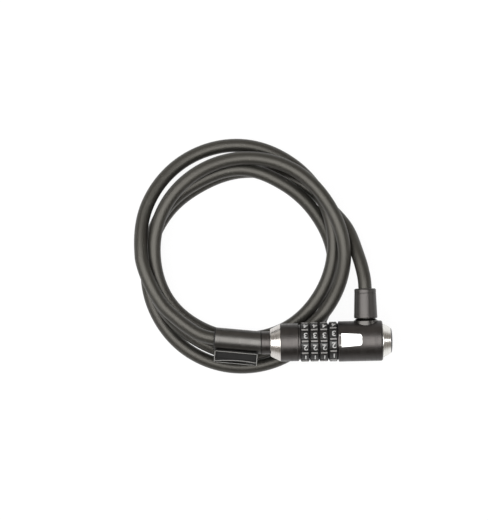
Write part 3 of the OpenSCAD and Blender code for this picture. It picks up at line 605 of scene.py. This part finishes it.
# how far a place on the surface is from the head's axis
from_axis = nodes.new("ShaderNodeVectorMath")
from_axis.operation = "SUBTRACT"
from_axis.inputs[1].default_value = (0.0, axis_y * mm, axis_z * mm)
links.new(place.outputs["Object"], from_axis.inputs[0])
across = nodes.new("ShaderNodeVectorMath")
across.operation = "MULTIPLY"
across.inputs[1].default_value = (0.0, 1.0, 1.0)
links.new(from_axis.outputs["Vector"], across.inputs[0])
radius = nodes.new("ShaderNodeVectorMath")
radius.operation = "LENGTH"
links.new(across.outputs["Vector"], radius.inputs[0])
# a light matt print covers the ribs' crowns
crown = nodes.new("ShaderNodeMapRange")
crown.inputs["From Min"].default_value = (band_radius + print_foot) * mm
crown.inputs["From Max"].default_value = (band_radius + print_top) * mm
links.new(radius.outputs["Value"], crown.inputs["Value"])
printed = nodes.new("ShaderNodeMix")
printed.data_type = "RGBA"
printed.inputs["B"].default_value = (0.16, 0.155, 0.150, 1.0)
links.new(crown.outputs["Result"], printed.inputs["Factor"])
links.new(tone.outputs["Result"], printed.inputs["A"])
links.new(printed.outputs["Result"], shader.inputs["Base Color"])
matt = nodes.new("ShaderNodeMix")
matt.inputs["B"].default_value = 0.75
links.new(crown.outputs["Result"], matt.inputs["Factor"])
links.new(shader.inputs["Roughness"].links[0].from_socket, matt.inputs["A"])
links.new(matt.outputs["Result"], shader.inputs["Roughness"])
# painted shade: below the band, in the grooves beside the ribs, the surface is painted
# near black and matt
groove_shade = nodes.new("ShaderNodeMapRange")
groove_shade.inputs["From Min"].default_value = (band_radius - shade_foot) * mm
groove_shade.inputs["From Max"].default_value = (band_radius - shade_top) * mm
links.new(radius.outputs["Value"], groove_shade.inputs["Value"])
for socket, dull in (("Base Color", (0.002, 0.002, 0.002, 1.0)), ("Roughness", 0.95)):
    shade_mix = nodes.new("ShaderNodeMix")
    shade_mix.data_type = "RGBA" if socket == "Base Color" else "FLOAT"
    shade_mix.inputs["A"].default_value = dull
    links.new(groove_shade.outputs["Result"], shade_mix.inputs["Factor"])
    links.new(shader.inputs[socket].links[0].from_socket, shade_mix.inputs["B"])
    links.new(shade_mix.outputs["Result"], shader.inputs[socket])
shader.inputs["Specular IOR Level"].default_value = 0.35
dress(dial_plastic, "dial_1", "dial_2", "dial_3", "dial_4")

# Numbers. Pale paint in a thin raised print, ten round each dial. One stands
# between each pair of ribs and wraps round the band.
number_height = 4.3
number_shift, number_spread = 0.45, 1.15
figure_share = 0.7  # of a font's size, which a figure's height takes up
stroke_growth = 0.022
strips, strip_span = 10, 1.1
print_thickness = 0.05
numbers_per_dial = 10
dial_turns = (3.5, 3.5, 3.5, 9.0)  # degrees, by how much each dial is turned
number_paint, nodes, links, shader = new_material(
    "number_paint", colour=(0.42, 0.42, 0.42), roughness=0.5)
dress_with_grain(
    nodes, links, shader, dark=(0.26, 0.26, 0.26), light=(0.38, 0.38, 0.37),
    grain_scale=1500.0, mottle_scale=400.0, roughness_range=(0.45, 0.6), relief=0.2)


def number_shape(number, height):
    """One flat number about the origin, cut into strips so that it can wrap."""
    text = bpy.data.curves.new("number", "FONT")
    text.body = str(number)
    text.size = height / figure_share
    text.align_x, text.align_y = "CENTER", "CENTER"
    text.offset = stroke_growth * height
    flat = bpy.data.objects.new("number", text)
    bpy.context.scene.collection.objects.link(flat)
    mesh = bpy.data.meshes.new_from_object(
        flat.evaluated_get(bpy.context.evaluated_depsgraph_get()))
    bpy.data.objects.remove(flat)
    bm = bmesh.new()
    bm.from_mesh(mesh)
    bpy.data.meshes.remove(mesh)
    for k in range(1, strips):
        level = (k / strips - 0.5) * height * strip_span
        bmesh.ops.bisect_plane(bm, geom=bm.verts[:] + bm.edges[:] + bm.faces[:],
                               plane_co=(0, level, 0), plane_no=(0, 1, 0))
    return bm


for dial, (start, turn) in enumerate(zip(dial_starts, dial_turns), 1):
    ring = bmesh.new()
    for number in range(numbers_per_dial):
        shape = number_shape(number, number_height)
        middle = math.radians(360 / numbers_per_dial * number - 90 + turn)
        for v in shape.verts:
            angle = middle - v.co.y / band_radius
            v.co = Vector((
                (start + dial_width / 2 + number_shift - number_spread * v.co.x) * mm,
                (axis_y + (band_radius + print_thickness) * math.sin(angle)) * mm,
                (axis_z + (band_radius + print_thickness) * math.cos(angle)) * mm))
        bmesh.ops.recalc_face_normals(shape, faces=shape.faces)
        part = bpy.data.meshes.new("number")
        shape.to_mesh(part)
        shape.free()
        ring.from_mesh(part)
        bpy.data.meshes.remove(part)
    for face in ring.faces:
        outward = face.calc_center_median() - Vector((0, axis_y * mm, axis_z * mm))
        if face.normal.dot(Vector((0, outward.y, outward.z))) < 0:
            face.normal_flip()
    bmesh.ops.solidify(ring, geom=ring.faces[:], thickness=print_thickness * 2 * mm)
    mesh = bpy.data.meshes.new(f"numbers_{dial}")
    ring.to_mesh(mesh)
    ring.free()
    numbers = bpy.data.objects.new(f"numbers_{dial}", mesh)
    bpy.context.scene.collection.objects.link(numbers)
    mesh.materials.append(number_paint)
    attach(numbers, f"dial_{dial}")

# Index plate. Bright satin aluminium let into the housing's crown, with two
# index prongs at the dials, which are coloured a darker grey. Its face is plain.
plate_start, prong_margin = 72.0, 0.05
plate_metal, nodes, links, shader = new_material(
    "plate_metal", colour=(0.86, 0.86, 0.85), roughness=0.42, metallic=0.3)
tone, place = dress_with_grain(
    nodes, links, shader, dark=(0.80, 0.80, 0.79), light=(0.90, 0.90, 0.89),
    grain_scale=1500.0, mottle_scale=120.0, roughness_range=(0.36, 0.50), relief=0.08)
along = nodes.new("ShaderNodeSeparateXYZ")
links.new(place.outputs["Object"], along.inputs["Vector"])
prong = nodes.new("ShaderNodeMath")
prong.operation = "LESS_THAN"
prong.inputs[1].default_value = (plate_start - prong_margin) * mm
links.new(along.outputs["X"], prong.inputs[0])
darker_prongs = nodes.new("ShaderNodeMix")
darker_prongs.data_type = "RGBA"
darker_prongs.inputs["B"].default_value = (0.22, 0.22, 0.21, 1.0)
links.new(prong.outputs["Value"], darker_prongs.inputs["Factor"])
links.new(tone.outputs["Result"], darker_prongs.inputs["A"])
links.new(darker_prongs.outputs["Result"], shader.inputs["Base Color"])
dress(plate_metal, "index_plate")

# Floor. A plain white surface just under the coil. It glows white for the
# camera and in reflections, and keeps a faint shadow under the lock.
floor_reach, floor_gap = 4.0, 0.0002
floor_glow, floor_glow_mirrored = 0.92, 0.85
floor_mesh = bpy.data.meshes.new("floor")
bm = bmesh.new()
bmesh.ops.create_grid(bm, x_segments=1, y_segments=1, size=floor_reach)
bmesh.ops.translate(bm, vec=(0, 0, -floor_gap), verts=bm.verts)
bm.to_mesh(floor_mesh)
bm.free()
floor = bpy.data.objects.new("floor", floor_mesh)
bpy.context.scene.collection.objects.link(floor)
floor_white, nodes, links, shader = new_material(
    "floor_white", colour=(0.9, 0.9, 0.9), roughness=0.9)
glow = nodes.new("ShaderNodeEmission")
paths = nodes.new("ShaderNodeLightPath")
seen = nodes.new("ShaderNodeMath")
seen.operation = "MULTIPLY"
seen.inputs[1].default_value = floor_glow
links.new(paths.outputs["Is Camera Ray"], seen.inputs[0])
mirrored = nodes.new("ShaderNodeMath")
mirrored.operation = "MULTIPLY"
mirrored.inputs[1].default_value = floor_glow_mirrored
links.new(paths.outputs["Is Glossy Ray"], mirrored.inputs[0])
share = nodes.new("ShaderNodeMath")
share.operation = "MAXIMUM"
links.new(seen.outputs["Value"], share.inputs[0])
links.new(mirrored.outputs["Value"], share.inputs[1])
mixed = nodes.new("ShaderNodeMixShader")
links.new(share.outputs["Value"], mixed.inputs[0])
links.new(shader.outputs["BSDF"], mixed.inputs[1])
links.new(glow.outputs["Emission"], mixed.inputs[2])
links.new(mixed.outputs["Shader"], nodes["Material Output"].inputs["Surface"])
floor_mesh.materials.append(floor_white)

# Light. A white room that is darker halfway up and pale on its far side, a
# wide strip lamp overhead along the lock head, a small one beside it over the
# coil's far side, and a short strip past the head's end.
world = bpy.data.worlds.new("studio")
bpy.context.scene.world = world
world.use_nodes = True
nodes, links = world.node_tree.nodes, world.node_tree.links
nodes.clear()
place = nodes.new("ShaderNodeTexCoord")
split = nodes.new("ShaderNodeSeparateXYZ")
links.new(place.outputs["Generated"], split.inputs["Vector"])
bands = nodes.new("ShaderNodeValToRGB")
links.new(split.outputs["Z"], bands.inputs["Fac"])
ramp = bands.color_ramp
ramp.elements[0].position, ramp.elements[0].color = 0.0, (0.95, 0.95, 0.95, 1)
ramp.elements[1].position, ramp.elements[1].color = 1.0, (0.55, 0.55, 0.54, 1)
for position, colour in ((0.10, (0.70, 0.69, 0.67)), (0.26, (0.22, 0.20, 0.18)),
                         (0.70, (0.19, 0.17, 0.15)), (0.88, (0.40, 0.39, 0.38))):
    ramp.elements.new(position).color = (*colour, 1)
far_side = nodes.new("ShaderNodeMapRange")
far_side.inputs["From Min"].default_value = 0.64
far_side.inputs["From Max"].default_value = 0.90
far_side.inputs["To Max"].default_value = 0.95
links.new(split.outputs["Y"], far_side.inputs["Value"])
lit = nodes.new("ShaderNodeMix")
lit.data_type = "RGBA"
lit.inputs["B"].default_value = (0.66, 0.61, 0.56, 1.0)
links.new(far_side.outputs["Result"], lit.inputs["Factor"])
links.new(bands.outputs["Color"], lit.inputs["A"])
room = nodes.new("ShaderNodeBackground")
links.new(lit.outputs["Result"], room.inputs["Color"])
white = nodes.new("ShaderNodeBackground")
white.inputs["Color"].default_value = (1, 1, 1, 1)
paths = nodes.new("ShaderNodeLightPath")
chosen = nodes.new("ShaderNodeMixShader")
links.new(paths.outputs["Is Camera Ray"], chosen.inputs[0])
links.new(room.outputs["Background"], chosen.inputs[1])
links.new(white.outputs["Background"], chosen.inputs[2])
output = nodes.new("ShaderNodeOutputWorld")
links.new(chosen.outputs["Shader"], output.inputs["Surface"])

for name, length, width, power, place, lean in (
        ("overhead", 2.1, 0.92, 27.8, (-0.55, -0.02, 1.0), 0.0),
        ("far_corner", 0.6, 0.4, 4.4, (-0.48, 0.72, 1.0), 0.0),
        ("end_strip", 0.6, 0.13, 1.9, (1.55, 0.02, 0.85), 60.0)):
    lamp_data = bpy.data.lights.new(name, "AREA")
    lamp_data.shape = "RECTANGLE"
    lamp_data.size, lamp_data.size_y = length, width
    lamp_data.energy = power
    lamp = bpy.data.objects.new(name, lamp_data)
    lamp.location = place
    lamp.rotation_euler = (0.0, math.radians(lean), 0.0)
    bpy.context.scene.collection.objects.link(lamp)

bpy.context.scene.view_settings.view_transform = "Standard"
